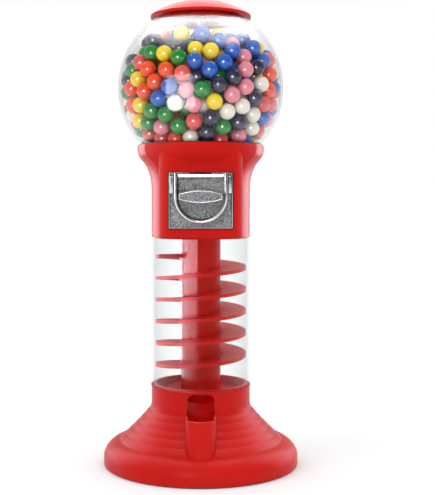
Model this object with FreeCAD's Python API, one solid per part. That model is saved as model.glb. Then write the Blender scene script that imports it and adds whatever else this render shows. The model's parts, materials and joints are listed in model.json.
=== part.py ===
import FreeCAD, Part
import math
import os
import random

V = FreeCAD.Vector
up = V(0, 0, 1)
back = V(0, 1, 0)

# Frame: +Z up, origin on the floor under the middle of the base, coin plate towards -Y.

# Base
base_radius = 150.0
base_edge_lift = 2.0
base_edge_height = 15.0
base_wall = 3.0
shoulder_inset = 24.0
shoulder_height = 38.0
shoulder_bulge = 5.0
base_rings = 5
ring_bulge = 0.6
ring_dip = 2.0
neck_root_gain = 2.7
neck_root_height = 86.0
neck_blend_rise = 14.0
neck_blend_sag = 0.9
rim_height = 122.0

# Outlet and delivery cup
outlet_width = 40.5
outlet_top_drop = 3.0
outlet_corner = 10.0
cup_wall = 2.0
cup_reach = 135.0
cup_lip_height = 95.0
cup_floor_height = 68.0
cup_floor_wall = 3.0
sill_height = 90.0
cup_back_wall = 2.7

# Clear tube
tube_diameter = 152.0
tube_wall = 3.0
tube_length = 229.0
skin_step = 0.3

# Catch tray
tray_lip = 2.3
tray_lip_height = 3.0
tray_wall = 2.0
tray_front_height = 91.0
tray_fall = 27.0

# Post and spiral ramp
column_diameter = 62.0
column_wall = 3.0
ramp_play = 2.5
ramp_turns = 5
ramp_top_gap = 28.0
ramp_foot_gap = 33.0
ramp_edge = 5.4
ramp_root = 6.0
ramp_seam_angle = 180.0
ramp_run_out = 95.0
ramp_catch = 25.0
coin_window_width = 26.0
coin_window_height = 42.0

# Bottom closure
foot_height = 6.0
foot_radius = 11.0
foot_tread_radius = 9.4
foot_circle = 118.0
bottom_plate_gauge = 2.0
dish_rise = 9.0
dish_radius = 34.0
dish_slope = 8.0
screw_circle = 104.0
boss_radius = 6.0
screw_shank = 2.0
screw_head = 4.2
screw_head_height = 2.6
screw_length = 14.0

# Centre rod and its nuts
rod_diameter = 8.0
nut_flats = 13.0
nut_height = 6.0
rod_tail = 1.5

# Gumballs and vend wheel
ball_diameter = 24.5
ball_gap = 0.1
pocket_count = 6
pocket_play = 0.95
wheel_rim_wall = 2.3
wheel_top_play = 0.2
wheel_web = 4.0
hub_radius = 10.0
nut_well_radius = 11.0
nut_well_depth = 6.0
flange_height = 4.6

# Pinion and crown gear
pinion_teeth = 8
crown_clear = 2.3
crown_step = 1.5
gear_addendum = 2.35
gear_dedendum = 2.65
tooth_at_pitch = 3.1
tooth_taper = 0.36
face_width = 7.0

# Wheel plate, deck and drop tube
wheel_plate_gauge = 3.0
plate_inset = 0.5
plate_skirt_wall = 2.0
plate_flange_drop = 11.0
plate_flange_play = 0.8
plate_flange_gauge = 3.0
plate_window = 38.0
drop_play = 1.75
drop_tube_wall = 1.5
plate_screw_inset = 4.8
plate_screw_angle = 25.0
deck_gauge = 4.0
deck_inset = 1.7
spigot_height = 2.0
spigot_wall = 2.8
coin_hole_radius = 24.0

# Housing
housing_wall = 3.0
handle_rise = 61.5
flare_rise = 61.0
flare_low_gain = 2.2
flare_low_rise = 32.0
flare_bend_in = 11.0
flare_bend_drop = 28.0
rim_band = 4.0
rim_draft = 0.8
rim_lap = 15.0
rim_gap = 3.9
ledge_drop = 6.0
ledge_height = 4.0
ledge_inset = 4.0
pad_half_width = 62.3
pad_corner = 18.0
pad_foot_round = 3.0
pad_head_drop = 8.0
drum_hole_play = 1.0

# Hopper and globe
hopper_play = 1.0
hopper_wall = 2.5
funnel_height = 23.0
funnel_inset = 0.7
funnel_flare = 4.2
gasket_width = 7.3
gasket_height = 2.0
globe_diameter = 256.0
globe_wall = 3.0
globe_foot_radius = 73.9
globe_mouth_radius = 68.0
heap_top_clear = 11.0
heap_fill = 0.48
heap_seed = 4
heap_steps = 300
heap_fall = 0.5
heap_calm = 1.4
heap_slack = 0.9
colour_mix = 0.8
guard_gauge = 2.0
guard_half_angle = 22.0
guard_inner_radius = 32.0

# Lid and lock
lid_radius = 78.0
lid_edge = 3.6
lid_rise = 27.5
lid_wall = 3.0
lid_ring_depth = 6.5
lid_ring_wall = 3.5
lock_radius = 11.0
lock_sink = 1.0
key_slot_length = 7.0
key_slot_width = 1.6
lock_bezel = 13.0
lock_bezel_height = 2.5
plug_radius = 6.2
lock_depth = 15.0
lock_stem_radius = 2.4
lock_bar_length = 15.0
lock_bar_width = 3.6
lock_bar_height = 3.0
keeper_radius = 10.0
keeper_wall = 1.8
keeper_slot_play = 0.5
keeper_stem_play = 2.0

# Coin plate, handle and mechanism
plate_width = 94.0
plate_above_axis = 36.0
plate_below_axis = 46.5
plate_gauge = 3.0
plate_bevel = 0.8
shield_radius = 34.3
shield_wall = 5.2
shield_height = 8.0
shield_bevel = 1.6
ledge_depth = 4.5
side_bar_width = 7.0
side_bar_gauge = 2.2
side_bar_foot = 4.0
slot_width = 33.0
slot_gauge = 2.6
handle_length = 64.0
handle_height = 19.0
handle_tip = 9.0
handle_thickness = 13.0
handle_stand_off = 5.0
handle_hub_radius = 12.0
handle_bevel = 1.2
shaft_radius = 4.5
stud_spread = 39.0
stud_levels = (-30.0, 28.0)
stud_radius = 2.5
stud_length = 11.0
mech_nut_flats = 8.0
mech_nut_height = 4.0
drum_radius = 36.0
drum_wall = 2.0
drum_rear_gap = 1.0
ratchet_rear_gap = 1.9
drum_exit_width = 28.0
carrier_radius = 33.0
carrier_gauge = 4.5
coin_radius = 12.6
coin_notch_share = 0.8
ratchet_teeth = 12
ratchet_radius = 20.0
ratchet_depth = 3.0
ratchet_gauge = 3.0
pawl_reach = 27.0
pawl_angle = 130.0
pawl_span = 33.0
pawl_arm = 4.6
pawl_boss = 3.6
pawl_nose = 1.0
pawl_nose_play = 0.8
pawl_lift = 14.0
pawl_pin_radius = 1.5
spring_gauge = 0.5
clip_gauge = 1.2
clip_radius = 7.0
chute_width = 34.0
chute_wall = 1.6
chute_side = 8.0
chute_slope = 13.0

# Clearances
slip = 0.2
seat_gap = 0.3
running_fit = 0.05
mesh_play = 0.3
touch = 0.01

# Levels up the stack, each worked out from what stands on what
tube_radius = tube_diameter / 2
tube_bore = tube_radius - tube_wall
ramp_radius = tube_bore - ramp_play
neck_radius = tube_radius + skin_step
neck_root_radius = neck_radius + neck_root_gain
shoulder_radius = base_radius - shoulder_inset
deck_radius = neck_radius - deck_inset
deck_bottom = rim_height + tube_length
deck_top = deck_bottom + deck_gauge
ramp_pitch = (tube_length - ramp_top_gap - ramp_foot_gap) / ramp_turns
ramp_top = deck_bottom - ramp_top_gap
ramp_foot = rim_height + ramp_foot_gap
column_radius = column_diameter / 2
column_bore = column_radius - column_wall
tray_radius = tube_bore - slip - tray_lip
neck_bore = tray_radius + slip
plate_bottom = foot_height
plate_top = plate_bottom + bottom_plate_gauge
dish_top = plate_top + dish_rise
ball_radius = ball_diameter / 2
rod_radius = rod_diameter / 2
pocket_radius = ball_radius + pocket_play
drop_hole_radius = ball_radius + drop_play
housing_bore = neck_radius - housing_wall
plate_flange_radius = housing_bore - plate_flange_play
plate_screw_circle = housing_bore - plate_screw_inset
crown_outer = housing_bore - crown_clear
crown_inner = crown_outer - face_width
crown_radius = crown_outer - face_width / 2
crown_teeth = pinion_teeth * pocket_count
pinion_pitch_radius = crown_radius / pocket_count
wheel_radius = crown_inner - crown_step
wheel_pitch_radius = wheel_radius - wheel_rim_wall - pocket_radius
wheel_plate_radius = wheel_radius - plate_inset
funnel_foot_radius = wheel_radius - funnel_inset
funnel_head_radius = funnel_foot_radius + funnel_flare
axis_height = deck_bottom + handle_rise
pitch_plane = axis_height + pinion_pitch_radius
crown_root = pitch_plane + gear_dedendum
wheel_floor = crown_root + 2 * mesh_play
wheel_bottom = wheel_floor + seat_gap
wheel_top = wheel_bottom + ball_diameter + wheel_top_play
hopper_foot = wheel_top + hopper_play
funnel_head = hopper_foot + funnel_height
globe_foot = funnel_head + gasket_height
globe_radius = globe_diameter / 2
globe_bore = globe_radius - globe_wall
globe_centre = globe_foot + math.sqrt(globe_radius ** 2 - globe_foot_radius ** 2)
globe_mouth = globe_centre + math.sqrt(globe_radius ** 2 - globe_mouth_radius ** 2)
housing_rim = globe_foot + rim_lap
rim_bore = math.sqrt(globe_radius ** 2 - (globe_centre - housing_rim) ** 2) + rim_gap
rim_radius = rim_bore + housing_wall
lid_apex = globe_mouth + lid_rise
cup_half = outlet_width / 2 + cup_wall
cup_centre = cup_reach - cup_half
outlet_top = rim_height - outlet_top_drop
plate_flange_bottom = wheel_floor - wheel_plate_gauge - plate_flange_drop
drum_rear = crown_outer + drum_rear_gap
ratchet_rear = drum_rear + drum_wall + ratchet_rear_gap
ratchet_front = ratchet_rear + ratchet_gauge
carrier_rear = ratchet_front + seat_gap
carrier_front = carrier_rear + carrier_gauge
pad_face = carrier_front + seat_gap
plate_face = pad_face + plate_gauge
mouth_bore = math.sqrt(globe_bore ** 2 - (globe_mouth - globe_centre) ** 2)


# Shape helpers

def rod(radius, low, high, x=0.0, y=0.0):
    return Part.makeCylinder(radius, high - low, V(x, y, low))


def ring(bore, radius, low, high, x=0.0, y=0.0):
    return rod(radius, low, high, x, y).cut(rod(bore, low - 1, high + 1, x, y))


def block(x0, x1, y0, y1, z0, z1):
    return Part.makeBox(x1 - x0, y1 - y0, z1 - z0, V(x0, y0, z0))


def outline(points, place):
    """A flat face from (a, b) corners set in space by place; a third value bows the stretch to it."""
    edges = []
    last = points[0]
    for point in points[1:] + points[:1]:
        run, rise = point[0] - last[0], point[1] - last[1]
        span = math.hypot(run, rise)
        bow = point[2] if len(point) > 2 else 0.0
        if bow:
            middle = ((last[0] + point[0]) / 2 + bow * rise / span,
                      (last[1] + point[1]) / 2 - bow * run / span)
            edges.append(Part.Arc(place(*last[:2]), place(*middle), place(*point[:2])).toShape())
        else:
            edges.append(Part.makeLine(place(*last[:2]), place(*point[:2])))
        last = point
    return Part.Face(Part.Wire(edges))


def turned(points):
    """Revolve an outline of (radius, height) points about the Z axis."""
    return outline(points, lambda r, z: V(r, 0, z)).revolve(V(0, 0, 0), up, 360)


def upright(points, low, high):
    """Extrude an outline of (x, y) points from one height to another."""
    return outline(points, lambda x, y: V(x, y, low)).extrude(V(0, 0, high - low))


def facing(points, front, rear):
    """Extrude an outline of (x, height over the handle axis) points between two depths."""
    face = outline(points, lambda x, z: V(x, -front, axis_height + z))
    return face.extrude(V(0, front - rear, 0))


def facing_rod(radius, front, rear, x=0.0, z=0.0):
    return Part.makeCylinder(radius, front - rear, V(x, -front, axis_height + z), back)


def bevelled(shape, front, size):
    """The shape with the edges of its front face cut back."""
    edges = [e for e in shape.Edges if e.BoundBox.YMax < touch - front]
    return shape.makeChamfer(size, edges)


def spun(shape, angle, centre=V(0, 0, 0), axis=up):
    copy = shape.copy()
    copy.rotate(centre, axis, angle)
    return copy


def around(shape, count, first=0.0):
    return [spun(shape, first + 360.0 * i / count) for i in range(count)]


def polar(radius, angle):
    return radius * math.cos(math.radians(angle)), radius * math.sin(math.radians(angle))


def hexagon(flats, low, high, x=0.0, y=0.0):
    corner = flats / math.sqrt(3)
    corners = [polar(corner, 60.0 * i) for i in range(6)]
    return upright([(x + a, y + b) for a, b in corners], low, high)


def nut(low, high):
    return hexagon(nut_flats, low, high).cut(rod(rod_radius + running_fit, low - 1, high + 1))


def save(name, *solids):
    shape = solids[0] if len(solids) == 1 else Part.makeCompound(list(solids))
    shape.exportStep("parts/" + name + ".step")
    print(name, len(shape.Solids), shape.isValid())


def single(shape):
    """The one solid of a boolean result, with seams between like faces merged."""
    return shape.removeSplitter().Solids[0]


os.makedirs("parts", exist_ok=True)


# Base shell with its rings, neck, outlet arch and delivery cup

def half_round(half_width, rear, low, high):
    points = [(half_width, -rear), (-half_width, -rear), (-half_width, -cup_centre)]
    points.append((half_width, -cup_centre, half_width))
    return upright(points, low, high)


def outlet_arch(low, rear):
    half, corner = outlet_width / 2, outlet_corner
    bow = corner * (1 - math.sqrt(0.5))
    points = [(-half, low), (half, low), (half, outlet_top - corner), (half - corner, outlet_top, bow)]
    points += [(corner - half, outlet_top), (-half, outlet_top - corner, bow)]
    return outline(points, lambda x, z: V(x, -cup_reach, z)).extrude(V(0, cup_reach - rear, 0))


edge_top = base_edge_lift + base_edge_height
neck_low = neck_root_height + neck_blend_rise
ring_steps = []
for i in range(1, base_rings + 1):
    share = i / base_rings
    ring_radius = shoulder_radius + (neck_root_radius - shoulder_radius) * share
    ring_height = shoulder_height + (neck_root_height - shoulder_height) * share
    ring_steps.append((ring_radius - 4 * ring_dip * share * (1 - share), ring_height, ring_bulge))
base_solid = turned([(0, base_edge_lift), (base_radius, base_edge_lift), (base_radius, edge_top),
                     (shoulder_radius, shoulder_height, shoulder_bulge)] + ring_steps
                    + [(neck_radius, neck_low, -neck_blend_sag), (neck_radius, rim_height), (0, rim_height)])
base_space = turned([(0, 0), (base_radius - base_wall, 0), (base_radius - base_wall, edge_top),
                     (shoulder_radius - base_wall, shoulder_height - base_wall, shoulder_bulge),
                     (neck_root_radius - base_wall, neck_root_height - base_wall, -ring_dip),
                     (neck_bore, neck_low), (neck_bore, rim_height + 1), (0, rim_height + 1)])
cup_rear = tray_radius + seat_gap
cup_under = cup_floor_height - cup_floor_wall
cup_block = half_round(cup_half, cup_rear, edge_top, cup_lip_height)
pocket_block = half_round(cup_half, cup_rear, cup_under, cup_lip_height)
cup_core = half_round(outlet_width / 2, cup_rear + cup_back_wall, shoulder_height - 2 * base_wall, cup_under)
pocket = half_round(outlet_width / 2, cup_rear + cup_back_wall, cup_floor_height, cup_lip_height + 1)
bosses = []
screw_holes = []
for angle in (45, 135, 225, 315):
    x, y = polar(screw_circle, angle)
    bosses.append(rod(boss_radius, plate_top, neck_root_height, x, y).common(base_solid))
    screw_holes.append(rod(screw_shank + running_fit, plate_top - 1, plate_bottom + screw_length + slip,
                           x, y))
base_shell = base_solid.fuse(cup_block).cut([base_space.cut(pocket_block), cup_core, pocket])
base_shell = base_shell.cut(outlet_arch(sill_height, column_radius)).fuse(bosses).cut(screw_holes)
save("base_shell", single(base_shell))

# Bottom plate, feet, screws and the nut that the rod pulls on

dish_bottom = dish_top - bottom_plate_gauge
bottom_radius = base_radius - base_wall - 2 * slip
bottom_plate = turned([(rod_radius + slip, dish_bottom), (dish_radius, dish_bottom),
                       (dish_radius + dish_slope, plate_bottom), (bottom_radius, plate_bottom),
                       (bottom_radius, plate_top), (dish_radius + dish_slope, plate_top),
                       (dish_radius, dish_top), (rod_radius + slip, dish_top)])
feet = []
screws = []
for angle in (45, 135, 225, 315):
    x, y = polar(screw_circle, angle)
    bottom_plate = bottom_plate.cut(rod(screw_shank + slip, plate_bottom - 1, plate_top + 1, x, y))
    head = rod(screw_head, plate_bottom - screw_head_height, plate_bottom, x, y)
    screws.append(single(head.fuse(rod(screw_shank, plate_bottom, plate_bottom + screw_length, x, y))))
    x, y = polar(foot_circle, angle + 45)
    feet.append(Part.makeCone(foot_tread_radius, foot_radius, foot_height, V(x, y, 0)))
save("bottom_plate", single(bottom_plate))
save("rubber_feet", *feet)
save("bottom_screws", *screws)
save("rod_nut", nut(dish_bottom - nut_height, dish_bottom))

# Catch tray: a drum hung in the neck by its lip, with a floor that falls to the outlet

tray_bore = tray_radius - tray_wall
tray_slope = math.degrees(math.atan2(tray_fall, 2 * tray_bore))


def below_slope(level):
    """All space under the sloping floor, whose front edge is at the given height."""
    space = block(-base_radius, base_radius, -base_radius, base_radius, level - base_radius, level)
    return spun(space, tray_slope, V(0, -tray_bore, level), V(1, 0, 0))


tray_low = tray_front_height - 2 * tray_wall
tray = rod(tray_radius, tray_low,
           rim_height).fuse(rod(tube_bore - slip, rim_height, rim_height + tray_lip_height))
tray_space = rod(tray_bore, tray_low - 1,
                 rim_height + tray_lip_height + 1).cut(below_slope(tray_front_height))
tray = tray.cut([tray_space, below_slope(tray_front_height - tray_wall)])
door_rear = math.sqrt(tray_bore ** 2 - (outlet_width / 2) ** 2) - slip
door_low = tray_front_height + (tray_bore - door_rear) * tray_fall / (2 * tray_bore)
tray = tray.cut(outlet_arch(door_low, door_rear))
tray = tray.cut(rod(column_radius + seat_gap, 0, rim_height + tray_lip_height + 1))
save("catch_tray", single(tray))

# Clear tube

save("clear_tube", ring(tube_bore, tube_radius, rim_height, deck_bottom))

# Post in stacked sections, each with its stretch of the spiral ramp

def ramp(level, turn):
    """A stretch of ramp that climbs from the seam angle at the given height."""
    spine = Part.makeHelix(ramp_pitch, ramp_pitch * turn / 360, column_radius)
    root = column_radius - column_wall / 2
    section = outline([(root, -ramp_root), (ramp_radius, -ramp_edge), (ramp_radius, 0), (root, 0)],
                      lambda r, z: V(r, 0, z))
    sweep = Part.BRepOffsetAPI.MakePipeShell(Part.Wire(spine.Edges))
    sweep.setBiNormalMode(up)
    sweep.add(section.OuterWire, False, False)
    sweep.build()
    sweep.makeSolid()
    solid = spun(sweep.shape(), ramp_seam_angle)
    solid.translate(V(0, 0, level))
    return solid


def post_section(low, high, ramp_level, turn):
    post = rod(column_radius, low, high)
    fused = post.fuse(ramp(ramp_level, turn))
    return fused.cut(rod(column_bore, low - 1, high + 1))


def below_seam(level):
    """Room for the post of the section beneath, which a ramp's start hangs over."""
    return rod(column_radius + running_fit, level - 2 * ramp_root, level)


run_out_level = ramp_foot - ramp_pitch * ramp_run_out / 360
run_out = spun(ramp(run_out_level, ramp_run_out), -ramp_run_out)
column_foot = rod(column_radius, dish_top, ramp_foot).fuse(run_out)
column_foot = column_foot.cut(rod(column_bore, dish_top - 1, ramp_foot + 1))
window_half = coin_window_width / 2
coin_window = block(-window_half, window_half, -column_diameter, column_diameter, dish_top,
                    dish_top + coin_window_height)
column_foot = column_foot.cut([coin_window, spun(coin_window, 90)])
save("column_foot", single(column_foot))
for i in range(ramp_turns):
    level = ramp_foot + ramp_pitch * i
    section = post_section(level, level + ramp_pitch, level, 360).cut(below_seam(level))
    save("spiral_section_%d" % (i + 1), single(section))
column_head = post_section(ramp_top, deck_bottom, ramp_top, ramp_catch).cut(below_seam(ramp_top))
save("column_head", single(column_head))

# Deck between tube and housing, with a spigot in the tube

drop_x = -wheel_pitch_radius
spigot_radius = tube_bore - slip
deck = rod(deck_radius, deck_bottom, deck_top)
deck = deck.fuse(ring(spigot_radius - spigot_wall, spigot_radius, deck_bottom - spigot_height, deck_bottom))
deck_holes = [rod(coin_hole_radius, deck_bottom - 1, deck_top + 1)]
deck_holes.append(rod(drop_hole_radius, deck_bottom - 1, deck_top + 1, drop_x))
save("housing_deck", single(deck.cut(deck_holes)))

# Housing: neck and flare turned in one curve, with a flat pad for the coin plate

def flared(inset, low, top_radius, top):
    """The turned body under the flare line, moved inwards by inset."""
    line_foot = V(neck_radius - inset, 0, deck_bottom + flare_rise)
    line_head = V(rim_radius - inset, 0, housing_rim - rim_band)
    through = [line_foot, line_foot + V(flare_low_gain, 0, flare_low_rise),
               V(rim_radius - flare_bend_in - inset, 0, housing_rim - flare_bend_drop), line_head]
    curve = Part.BSplineCurve()
    curve.interpolate(Points=through, InitialTangent=up, FinalTangent=up)
    corners = [line_head, V(top_radius, 0, top), V(0, 0, top), V(0, 0, low),
               V(neck_radius - inset, 0, low), line_foot]
    sides = [Part.makeLine(a, b) for a, b in zip(corners, corners[1:])]
    return Part.Face(Part.Wire(sides + [curve.toShape()])).revolve(V(0, 0, 0), up, 360)


def pad(inset, low, high):
    half, face, corner = pad_half_width - inset, pad_face - inset, pad_corner - inset
    bow = corner * (1 - math.sqrt(0.5))
    points = [(half, 0), (-half, 0), (-half, corner - face), (corner - half, -face, bow)]
    points += [(half - corner, -face), (half, corner - face, bow)]
    return upright(points, low, high)


pad_top = housing_rim - pad_head_drop
pad_block = pad(0, deck_bottom, pad_top)
foot_edges = [e for e in pad_block.Edges if e.BoundBox.ZMax < deck_bottom + touch and e.CenterOfMass.y < -1]
pad_block = pad_block.makeFillet(pad_foot_round, foot_edges)
housing = flared(0, deck_bottom, rim_radius - rim_draft, housing_rim).fuse(pad_block)
housing = housing.cut(flared(housing_wall, deck_top, rim_bore, housing_rim + 1))
housing = housing.cut([rod(deck_radius + slip, deck_bottom - 1, deck_top),
                       pad(housing_wall, deck_bottom + housing_wall, pad_top - housing_wall)])
housing_ledge = housing_rim - ledge_drop
ledge = ring(rim_bore - ledge_inset, rim_bore + housing_wall / 2, housing_ledge - ledge_height, housing_ledge)
posts = []
post_holes = []
plate_screws = []
plate_screw_spots = []
for angle in (plate_screw_angle, 180 - plate_screw_angle, 180 + plate_screw_angle, -plate_screw_angle):
    x, y = polar(plate_screw_circle, angle)
    plate_screw_spots.append((x, y))
    web = block(plate_screw_circle, housing_bore + housing_wall / 2, -screw_shank, screw_shank,
                deck_top, plate_flange_bottom)
    posts += [rod(screw_head, deck_top, plate_flange_bottom, x, y), spun(web, angle)]
    screw_low = plate_flange_bottom + plate_flange_gauge - screw_length
    post_holes.append(rod(screw_shank + running_fit, screw_low - slip, plate_flange_bottom + 1, x, y))
    shank = rod(screw_shank, screw_low, plate_flange_bottom + plate_flange_gauge, x, y)
    head_low = plate_flange_bottom + plate_flange_gauge
    plate_screws.append(single(shank.fuse(rod(screw_head, head_low, head_low + screw_head_height, x, y))))
face_holes = [facing_rod(drum_radius + drum_hole_play, pad_face + 1, pad_face - housing_wall - 1)]
stud_spots = [(x, z) for x in (-stud_spread, stud_spread) for z in stud_levels]
for x, z in stud_spots:
    face_holes.append(facing_rod(stud_radius + slip, pad_face + 1, pad_face - housing_wall - 1, x, z))
housing = housing.fuse([ledge] + posts).cut(post_holes + face_holes)
save("housing", single(housing))
save("wheel_plate_screws", *plate_screws)

# Wheel plate: the floor under the vend wheel, with its skirt, flange and ball drop tube

plate_low = wheel_floor - wheel_plate_gauge
skirt_bore = wheel_plate_radius - plate_skirt_wall
flange = ring(skirt_bore, plate_flange_radius, plate_flange_bottom, plate_flange_bottom + plate_flange_gauge)
flange = flange.cut(block(-plate_window, plate_window, -pad_face, -skirt_bore / 2,
                          plate_flange_bottom - 1, plate_low))
drop_tube = rod(drop_hole_radius + drop_tube_wall, deck_top, plate_low, drop_x)
wheel_plate = rod(wheel_plate_radius, plate_low, wheel_floor)
wheel_plate = wheel_plate.fuse([ring(skirt_bore, wheel_plate_radius, plate_flange_bottom, plate_low),
                                flange, drop_tube])
plate_holes = []
for x, y in plate_screw_spots:
    plate_holes.append(rod(screw_shank + slip, plate_flange_bottom - 1, plate_low, x, y))
plate_holes.append(rod(rod_radius + slip, plate_low - 1, wheel_floor + 1))
plate_holes.append(rod(drop_hole_radius, deck_top - 1, wheel_floor + 1, drop_x))
save("wheel_plate", single(wheel_plate.cut(plate_holes)))

# Vend wheel with a pocket for each ball and a crown gear under its flange

def tooth_half(height):
    """Half the thickness of a gear tooth, at a height over its pitch line."""
    return tooth_at_pitch / 2 - height * tooth_taper


crown_tip = pitch_plane - gear_addendum
flange_top = crown_root + flange_height
tooth_root, tooth_tip = tooth_half(-gear_dedendum), tooth_half(gear_addendum)
tooth_top = crown_root + mesh_play
crown_tooth = outline([(-tooth_root, tooth_top), (tooth_root, tooth_top), (tooth_root, crown_root),
                       (tooth_tip, crown_tip), (-tooth_tip, crown_tip), (-tooth_root, crown_root)],
                      lambda x, z: V(x, -crown_outer, z)).extrude(V(0, face_width, 0))
wheel = rod(wheel_radius, wheel_bottom, wheel_top).fuse(rod(crown_outer, wheel_bottom, flange_top))
wheel = wheel.fuse(ring(crown_inner, crown_outer, crown_root, wheel_bottom))
pockets = around(rod(pocket_radius, crown_root, wheel_top + 1, wheel_pitch_radius), pocket_count)
coring = ring(hub_radius, wheel_pitch_radius - pocket_radius - wheel_web, wheel_bottom - 1,
              wheel_top - wheel_web)
nut_well = rod(nut_well_radius, wheel_top - nut_well_depth, wheel_top + 1)
wheel = wheel.cut(pockets + [coring, nut_well, rod(rod_radius + running_fit, crown_root, wheel_top + 1)])
half_pitch = 180.0 / crown_teeth
wheel = wheel.fuse(around(crown_tooth, crown_teeth, half_pitch))
save("vend_wheel", single(wheel))
pocket_ball_level = wheel_bottom + ball_radius
pocket_balls = []
for i in range(pocket_count):
    x, y = polar(wheel_pitch_radius, 360.0 * i / pocket_count)
    if x > drop_x + ball_radius:
        pocket_balls.append(Part.makeSphere(ball_radius, V(x, y, pocket_ball_level)))
save("wheel_gumballs", *pocket_balls)
wheel_nut_low = wheel_top - nut_well_depth + seat_gap
save("wheel_nut", nut(wheel_nut_low, wheel_nut_low + nut_height - seat_gap))

# Hopper that carries the globe, its gasket and the guard over the drop pocket

hopper_top = housing_ledge + hopper_wall + running_fit
hopper_rim = rim_bore - slip
bowl_radius = math.sqrt(globe_radius ** 2 - (globe_centre - hopper_top) ** 2) + rim_gap / 2
gasket_bore = globe_foot_radius + rim_gap / 2 - gasket_width
seat_radius = globe_foot_radius + rim_gap / 2 + slip
hopper = turned([(funnel_foot_radius, hopper_foot), (funnel_head_radius, funnel_head),
                 (seat_radius, funnel_head),
                 (bowl_radius, hopper_top), (hopper_rim, hopper_top), (hopper_rim, housing_ledge),
                 (bowl_radius + hopper_wall / 3, housing_ledge),
                 (seat_radius + hopper_wall / 2, funnel_head - hopper_wall),
                 (funnel_head_radius + hopper_wall, funnel_head - hopper_wall),
                 (funnel_foot_radius + hopper_wall, hopper_foot)])
save("hopper", hopper)
save("globe_gasket", ring(gasket_bore, gasket_bore + gasket_width, funnel_head, globe_foot))
guard_low = hopper_foot + seat_gap
guard_half = math.radians(guard_half_angle)
guard = ring(guard_inner_radius, funnel_foot_radius - running_fit, guard_low, guard_low + guard_gauge)
guard_wedge = upright([(0, 0), (-base_radius, base_radius * math.tan(guard_half)),
                       (-base_radius, -base_radius * math.tan(guard_half))], guard_low,
                       guard_low + guard_gauge)
save("ball_guard", single(guard.common(guard_wedge)))

# Clear globe

middle = V(0, 0, globe_centre)
globe = Part.makeSphere(globe_radius, middle).cut(Part.makeSphere(globe_bore, middle))
save("globe", single(globe.common(rod(globe_radius + 1, globe_foot, globe_mouth))))

# Lid with its lock, and the rod that it pulls on

def cap_sag(reach, rise):
    """How far a domed line, level at the axis, stands off its own chord."""
    dome = (reach ** 2 + rise ** 2) / (2 * rise)
    return dome - math.sqrt(dome ** 2 - (reach ** 2 + rise ** 2) / 4)


lid_ring = mouth_bore - 3 * slip
lid_inner = lid_radius - 2 * lid_wall
lid = turned([(lid_ring - lid_ring_wall, globe_mouth - lid_ring_depth),
              (lid_ring, globe_mouth - lid_ring_depth),
              (lid_ring, globe_mouth), (lid_radius, globe_mouth), (lid_radius, globe_mouth + lid_edge),
              (0, lid_apex, cap_sag(lid_radius, lid_rise - lid_edge)), (0, lid_apex - lid_wall),
              (lid_inner, globe_mouth + lid_wall, -cap_sag(lid_inner, lid_rise - 2 * lid_wall)),
              (lid_ring - lid_ring_wall, globe_mouth + lid_wall)])
lock_seat = lid_apex - lock_sink
lock_low = lock_seat - lock_depth
lid = lid.cut([rod(lock_bezel + slip, lock_seat, lid_apex + 1),
               rod(lock_radius + slip, lock_low, lid_apex + 1)])
save("lid", single(lid))
barrel = rod(lock_radius, lock_low, lock_seat).fuse(rod(lock_bezel, lock_seat, lock_seat + lock_bezel_height))
save("lock_barrel", single(barrel.cut(rod(plug_radius + running_fit, lock_low - 1,
                                          lid_apex + lock_bezel_height))))
keeper_top = lock_low - keeper_stem_play
bar_top = keeper_top - keeper_wall - keeper_slot_play
bar_low = bar_top - lock_bar_height
cavity_low = bar_low - keeper_slot_play
bar_half, bar_side = lock_bar_length / 2, lock_bar_width / 2
plug = rod(plug_radius, lock_low, lock_seat + lock_bezel_height - seat_gap).fuse(rod(lock_stem_radius,
                                                                                     bar_low, lock_low))
plug = plug.fuse(block(-bar_half, bar_half, -bar_side, bar_side, bar_low, bar_top))
key_slot = block(-key_slot_length / 2, key_slot_length / 2, -key_slot_width / 2, key_slot_width / 2,
                 lock_seat, lid_apex + lock_bezel_height)
save("lock_plug", single(plug.cut(key_slot)))
slot_side = lock_stem_radius + keeper_slot_play
slot_half = bar_half + keeper_slot_play
keeper = rod(keeper_radius, cavity_low - nut_height, keeper_top)
keeper = keeper.cut([rod(keeper_radius - keeper_wall, cavity_low, keeper_top - keeper_wall),
                     block(-slot_half, slot_half, -slot_side, slot_side, cavity_low, keeper_top + 1),
                     rod(rod_radius + running_fit, cavity_low - nut_height - 1, cavity_low)])
save("rod_keeper", single(keeper))
rod_foot = dish_bottom - nut_height - rod_tail
save("centre_rod", rod(rod_radius, rod_foot, cavity_low - keeper_slot_play))

# Coin plate: cast face with a raised shield round the handle, side bars and a coin slot

def shield_line(radius, top):
    return [(-radius, top), (-radius, 0), (radius, 0, radius), (radius, top)]


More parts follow.
